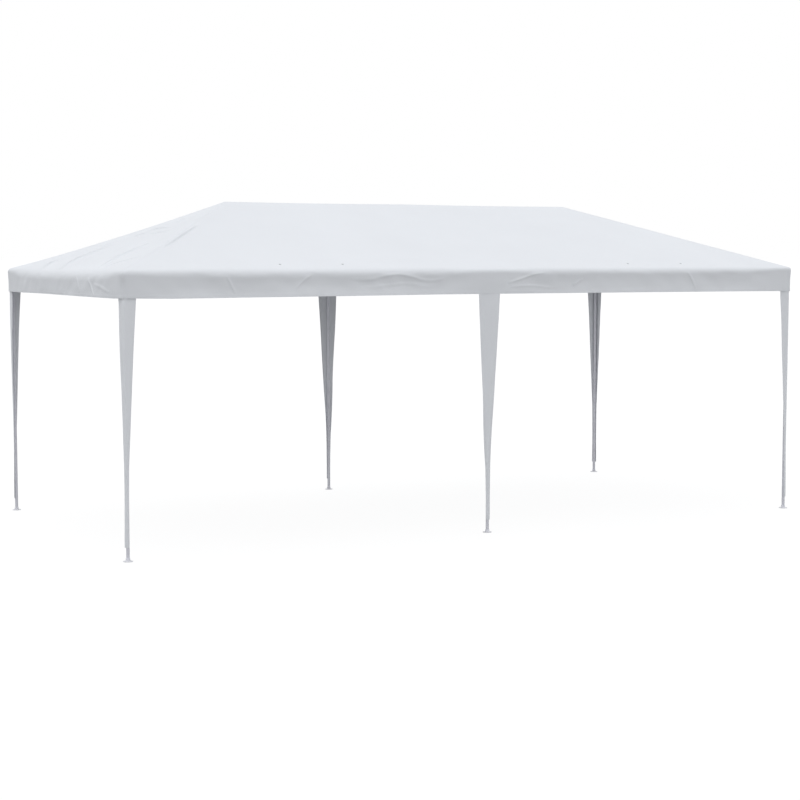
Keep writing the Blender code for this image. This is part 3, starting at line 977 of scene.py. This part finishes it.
def corner_cover(where, x_sign, y_sign):
    """A strip folded round a corner leg, one wing along each side of the tent."""
    share, height, width = cover_spots(CORNER_WIDTHS)
    # a positive share is the wing on the long side, a negative one the wing on the end
    on_long_side = share >= 0
    width = width + np.where(on_long_side, *WING_EXTRA.get(where, (0.0, 0.0)))
    loose = eased(-height, -0.55, -0.12)
    radius = COVER_AWAY + 0.0045 * loose + (TOP_AWAY[where] - COVER_AWAY) * eased(height, 0.5, 1.75)
    fold = radius * math.pi / 4
    reach = np.abs(share) * (fold + width - radius)
    turn = np.clip(reach / radius, 0.0, math.pi / 4)[:, None]
    straight = np.maximum(reach - fold, 0.0)
    face_x = np.array((x_sign, 0.0, 0.0))
    face_y = np.array((0.0, y_sign, 0.0))
    diagonal = (face_x + face_y) / math.sqrt(2)
    wing = on_long_side[:, None]
    wing_face = np.where(wing, face_y, face_x)
    wing_run = np.where(wing, -face_x, -face_y)
    sideways = np.where(wing, 1.0, -1.0) * (face_y - face_x) / math.sqrt(2)
    places = (
        radius[:, None] * (np.cos(turn) * diagonal + np.sin(turn) * sideways)
        + straight[:, None] * wing_run
        + np.array((x_sign * LEG_X, y_sign * LEG_Y, 0.0))
    )
    places[:, 2] = height
    under_valance = 1 - eased(height, HEM_Z - 0.05, HEM_Z + 0.02)
    flutter = noise_at(places, 5.0, 2.2, 11) * 0.006 + noise_at(places, 16.0, 3.5, 12) * 0.0022
    creases = noise_at(places, 60.0, 9.0, 13) * 0.0011
    move = (eased(straight, 0.012, 0.06) * flutter + eased(straight, 0.0, 0.02) * creases) * under_valance
    places += wing_face * move[:, None]
    edge_away = fold + width - radius - reach
    return lay_cover(where, places, np.sign(share) * reach, height, edge_away, x_sign * y_sign > 0)


def middle_cover(where, y_sign):
    """A strip in front of a middle leg, that goes on from the valance without a step."""
    share, height, width = cover_spots(MIDDLE_WIDTHS)
    half = width / 2
    across = share * half
    bend = (1 - eased(height, 0.35, 1.1)) * across**2 / (2 * MIDDLE_BEND_RADIUS)
    near_sheet = eased(height, 1.45, HEM_Z)
    away = COVER_AWAY + (OUT_Y - LEG_Y - COVER_AWAY - BEHIND_VALANCE) * near_sheet
    places = np.stack([across, y_sign * (LEG_Y + away - bend), height], axis=1)
    beside = eased(np.abs(across), 0.014, 0.05)
    hanging = 1 - eased(height, HEM_Z - 0.12, HEM_Z)
    flutter = noise_at(places, 7.0, 2.0, 21) * 0.006 + noise_at(places, 18.0, 3.0, 22) * 0.0025
    creases = noise_at(places, 50.0, 8.0, 23) * 0.0011
    places[:, 1] += y_sign * (beside * flutter * hanging + creases * hanging)
    return lay_cover(where, places, across, height, half - np.abs(across), y_sign > 0)


# Frame tubes, each in two lengths that push together at a joint with a spring button
JOINT_GAP = 0.0016
JOINT_DEPTH = 0.0006
BUTTON_PAST_JOINT = 0.022
TUBE_SIDES = 32
# the back left hip sags in the photograph, so its tube bends down by this much at its middle
BENT_TUBES = {"hip_rafter_back_left": 0.018}
BEND_STEPS = 24
BEND_FADE = 0.2  # metres over which the bend comes in, past the part in the socket
SOCKET_PART = 0.2  # that part, as a share of the fade
TOUCH = 0.0001  # how near to a height a vertex is picked


def make_tube(node, start, end, joints=(0.5,)):
    """A tube with a groove at each joint, a share of its length; gives the places of their buttons."""
    length = (end - start).length
    bend = BENT_TUBES.get(node, 0.0)
    stand = standing_on(start, end - start)
    tube = upright(f"{node}_steel", TUBE_SIDES, TUBE_RADIUS, length)
    edit(tube)
    bpy.ops.mesh.normals_make_consistent(inside=False)
    for joint in joints:
        middle = joint * length
        half = JOINT_GAP / 2
        cut_across([middle - half, middle - half / 2, middle + half / 2, middle + half])
        pick(tube, lambda co, m=middle: abs(co.z - m) < half * 0.75)
        widen(1 - JOINT_DEPTH / TUBE_RADIUS, middle)
    if bend:
        down = stand.to_3x3().inverted() @ Vector((0, 0, -bend))
        cut_across([length * step / BEND_STEPS for step in range(1, BEND_STEPS) if 2 * step != BEND_STEPS])
        heights = {round(v.co.z, 5) for v in bmesh.from_edit_mesh(tube.data).verts}
        for height in sorted(heights):
            pick(tube, lambda co, h=height: abs(co.z - h) < TOUCH / 5)
            past_socket = min(max(min(height, length - height) / BEND_FADE - SOCKET_PART, 0.0), 1.0)
            bpy.ops.transform.translate(value=down * math.sin(math.pi * height / length) * past_socket)
    leave_edit()
    bevelled(tube, 0.0004, 60)
    settle(tube, stand)
    smooth(tube, 35)
    finish_piece(tube, FRAME_STEEL, "frame_steel", node)
    past = (end - start).normalized() * BUTTON_PAST_JOINT - Vector((0, 0, bend))
    return [start + (end - start) * joint + past for joint in joints]


# Small steel parts on the frame
BUTTON_RADIUS = 0.003
BUTTON_FOOT = -0.001
BUTTON_FLATTENED = 0.7
SCREW_RADIUS = 0.0035
SCREW_HEIGHT = 0.0022
SCREW_MIDDLE = 0.0009
CROSS_SLOT = (0.0042, 0.0008, 0.0016)
CROSS_MIDDLE = 0.0018


def model_button():
    """A spring button: a pressed dome that snaps through the outer tube."""
    button = primitive("uv_sphere", "spring_button", segments=20, ring_count=12, radius=BUTTON_RADIUS)
    edit(button)
    bpy.ops.mesh.bisect(plane_co=(0, 0, BUTTON_FOOT), plane_no=(0, 0, 1), clear_inner=True, use_fill=True)
    bpy.ops.mesh.select_all(action="SELECT")
    bpy.ops.transform.resize(value=(1.0, 1.0, BUTTON_FLATTENED))
    leave_edit()
    return button


def model_screw():
    """A pan head screw with a cross recess."""
    sizes = {"vertices": 24, "radius": SCREW_RADIUS, "depth": SCREW_HEIGHT}
    head = primitive("cylinder", "screw", location=(0, 0, SCREW_MIDDLE), **sizes)
    settle(head)
    bevelled(head, 0.0008, 50, segments=3)
    for turn in (0.0, math.pi / 2):
        slot = primitive("cube", "cross_slot", size=1.0, location=(0, 0, CROSS_MIDDLE))
        slot.scale = CROSS_SLOT
        slot.rotation_euler = (0, 0, turn)
        settle(slot)
        combined(head, "DIFFERENCE", slot)
    return head


# Connectors: moulded sockets on a round hub, with a thicker lip at each mouth
ARM_LENGTH = 0.085
ARM_RADIUS = 0.015
HUB_RADIUS = 0.0158
LIP_START = ARM_LENGTH - 0.010
LIP_RAMP = 0.0015
LIP_RADIUS = 0.0162
SOCKET_RADIUS = 0.0128
SOCKET_START = 0.034


def make_connector(node, centre, directions):
    """A hub with a socket in each direction, fused into one moulding."""
    whole = primitive("uv_sphere", f"{node}_moulded", segments=32, ring_count=20, radius=HUB_RADIUS)
    for number, direction in enumerate(directions):
        arm = upright(f"arm_{number}", TUBE_SIDES, ARM_RADIUS, ARM_LENGTH)
        edit(arm)
        cut_across([LIP_START - LIP_RAMP, LIP_START])
        pick(arm, lambda co: co.z > LIP_START - TOUCH)
        widen(LIP_RADIUS / ARM_RADIUS, LIP_START)
        pick(arm, lambda co: co.z > ARM_LENGTH - TOUCH, "faces")
        bpy.ops.mesh.inset(thickness=LIP_RADIUS - SOCKET_RADIUS)
        extrude_up(SOCKET_START - ARM_LENGTH)
        leave_edit()
        settle(arm, standing_on((0, 0, 0), direction))
        combined(whole, "UNION", arm)
    bevelled(whole, 0.0006, 40)
    settle(whole, Matrix.Translation(centre))
    smooth(whole, 40)
    finish_piece(whole, CONNECTOR_PLASTIC, "connector_plastic", node)


# Feet: a round moulded plate with a flared collar that takes the pole, and three peg holes
PLATE_RADIUS = 0.035
PLATE_THICKNESS = 0.003
COLLAR_FOOT_RADIUS = 0.021
COLLAR = [(0.0045, 0.0196), (0.0075, 0.0178), (0.013, 0.0165), (0.022, 0.0158)]
COLLAR_INSIDE = 0.0129
COLLAR_FLOOR = 0.0031
PEG_HOLE_RADIUS = 0.0032
PEG_HOLE_AWAY = 0.0275
FOOT_SIDES = 64


def model_foot():
    foot = upright("foot", FOOT_SIDES, PLATE_RADIUS, PLATE_THICKNESS)
    edit(foot)
    pick(foot, lambda co: co.z > PLATE_THICKNESS - TOUCH, "faces")
    radius, height = COLLAR_FOOT_RADIUS, PLATE_THICKNESS
    bpy.ops.mesh.inset(thickness=PLATE_RADIUS - radius)
    for next_height, next_radius in COLLAR:
        extrude_up(next_height - height)
        widen(next_radius / radius, next_height)
        radius, height = next_radius, next_height
    bpy.ops.mesh.inset(thickness=radius - COLLAR_INSIDE)
    extrude_up(COLLAR_FLOOR - height)
    leave_edit()
    for turn in (0.0, 2 * math.pi / 3, 4 * math.pi / 3):
        place = (PEG_HOLE_AWAY * math.sin(turn), PEG_HOLE_AWAY * math.cos(turn), 0)
        sizes = {"vertices": 20, "radius": PEG_HOLE_RADIUS, "depth": 0.02}
        peg = primitive("cylinder", "peg_hole", location=place, **sizes)
        combined(foot, "DIFFERENCE", peg)
    bevelled(foot, 0.0005, 50)
    return foot


SCREW_ALONG = 0.06
DOWN = Vector((0, 0, -1))


def towards(start, end):
    """The direction from one point to another."""
    return (end - start).normalized()


def square_to(direction, wanted):
    """The direction nearest to the wanted one that is square to a tube or arm."""
    return (wanted - direction * direction.dot(wanted)).normalized()


def eave_hub(x_sign, y_sign):
    return Vector((x_sign * LEG_X, y_sign * LEG_Y, EAVE_HUB_Z))


def ridge_hub(x_sign):
    return Vector((x_sign * RIDGE_HUB_X, 0, RIDGE_HUB_Z))


def make_frame():
    """Poles, tubes, connectors, feet, and the small steel parts on them."""
    models = {"spring_button": model_button(), "screw": model_screw()}
    spots = {"spring_button": [], "screw": []}
    foot = model_foot()
    ridge_middle = ridge_hub(0)

    def tube_between(node, start, end, joints=(0.5,)):
        along = towards(start, end)
        for place in make_tube(node, start + along * TUBE_END, end - along * TUBE_END, joints):
            sideways = square_to(along, DOWN)
            spots["spring_button"].append((place + sideways * TUBE_RADIUS, sideways))

    def connector_at(node, centre, ends):
        directions = [towards(centre, end) for end in ends]
        make_connector(node, centre, directions)
        for direction in directions:
            # the screw sits on the side of the arm that faces down or into the tent
            inward = Vector((-centre.x, -centre.y, 0)) if abs(direction.z) > 0.9 else DOWN
            sideways = square_to(direction, inward if inward.length > 0.1 else DOWN)
            place = centre + direction * SCREW_ALONG + sideways * ARM_RADIUS
            spots["screw"].append((place, sideways))

    for side_name, y_sign in SIDES.items():
        for place_name, x_sign in PLACES.items():
            where = f"{side_name}_{place_name}"
            hub = eave_hub(x_sign, y_sign)
            side_hub = eave_hub(0, y_sign)
            ground = Vector((hub.x, hub.y, 0))
            pole_ends = [Vector((hub.x, hub.y, end.z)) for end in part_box(f"leg_pole_{where}")]
            for place in make_tube(f"leg_pole_{where}", *pole_ends):
                inside = Vector((0, -y_sign, 0))
                spots["spring_button"].append((place + inside * TUBE_RADIUS, inside))
            standing = copy_of(foot, f"foot_{where}_moulded", Matrix.Translation(ground))
            smooth(standing, 40)
            finish_piece(standing, FOOT_PLASTIC, "foot_plastic", f"foot_{where}")
            if not x_sign:
                step = Vector((1, 0, 0))
                ends = [ground, hub + step, hub - step, ridge_middle]
                connector_at(f"side_connector_{side_name}", hub, ends)
                tube_between(f"middle_rafter_{side_name}", hub, ridge_middle)
                continue
            ridge_end = ridge_hub(x_sign)
            ends = [ground, side_hub, eave_hub(x_sign, -y_sign), ridge_end]
            connector_at(f"corner_connector_{where}", hub, ends)
            tube_between(f"eave_tube_{where}", hub, side_hub)
            tube_between(f"hip_rafter_{where}", hub, ridge_end)
    for end_name, x_sign in (("left", -1), ("right", 1)):
        front, back, ridge_end = eave_hub(x_sign, -1), eave_hub(x_sign, 1), ridge_hub(x_sign)
        tube_between(f"eave_tube_{end_name}", front, back)
        tube_between(f"ridge_tube_{end_name}", ridge_end, ridge_middle, [])
        connector_at(f"ridge_connector_{end_name}", ridge_end, [front, back, ridge_middle])
    ends = [eave_hub(0, -1), eave_hub(0, 1), ridge_hub(-1), ridge_hub(1)]
    connector_at("ridge_connector_middle", ridge_middle, ends)
    for kind, model in models.items():
        for number, (place, facing) in enumerate(spots[kind], 1):
            made = copy_of(model, f"{kind}_{number}", standing_on(place, facing))
            smooth(made, 45)
            finish_piece(made, FASTENER_STEEL, "fastener_metal")
        bpy.data.objects.remove(model)
    bpy.data.objects.remove(foot)


def main():
    bpy.context.scene.view_settings.view_transform = "Standard"
    set_camera()
    set_floor()
    set_light()
    canopy, eyelets = make_canopy()
    hems = [make_hem("hem_left", -1), make_hem("hem_right", 1)]
    rings = [make_eyelet(f"eyelet_{number}", *spot) for number, spot in enumerate(eyelets, 1)]
    make_frame()
    for side_name, y_sign in SIDES.items():
        for place_name, x_sign in PLACES.items():
            where = f"{side_name}_{place_name}"
            if x_sign:
                cover = corner_cover(where, x_sign, y_sign)
            else:
                cover = middle_cover(where, y_sign)


main()
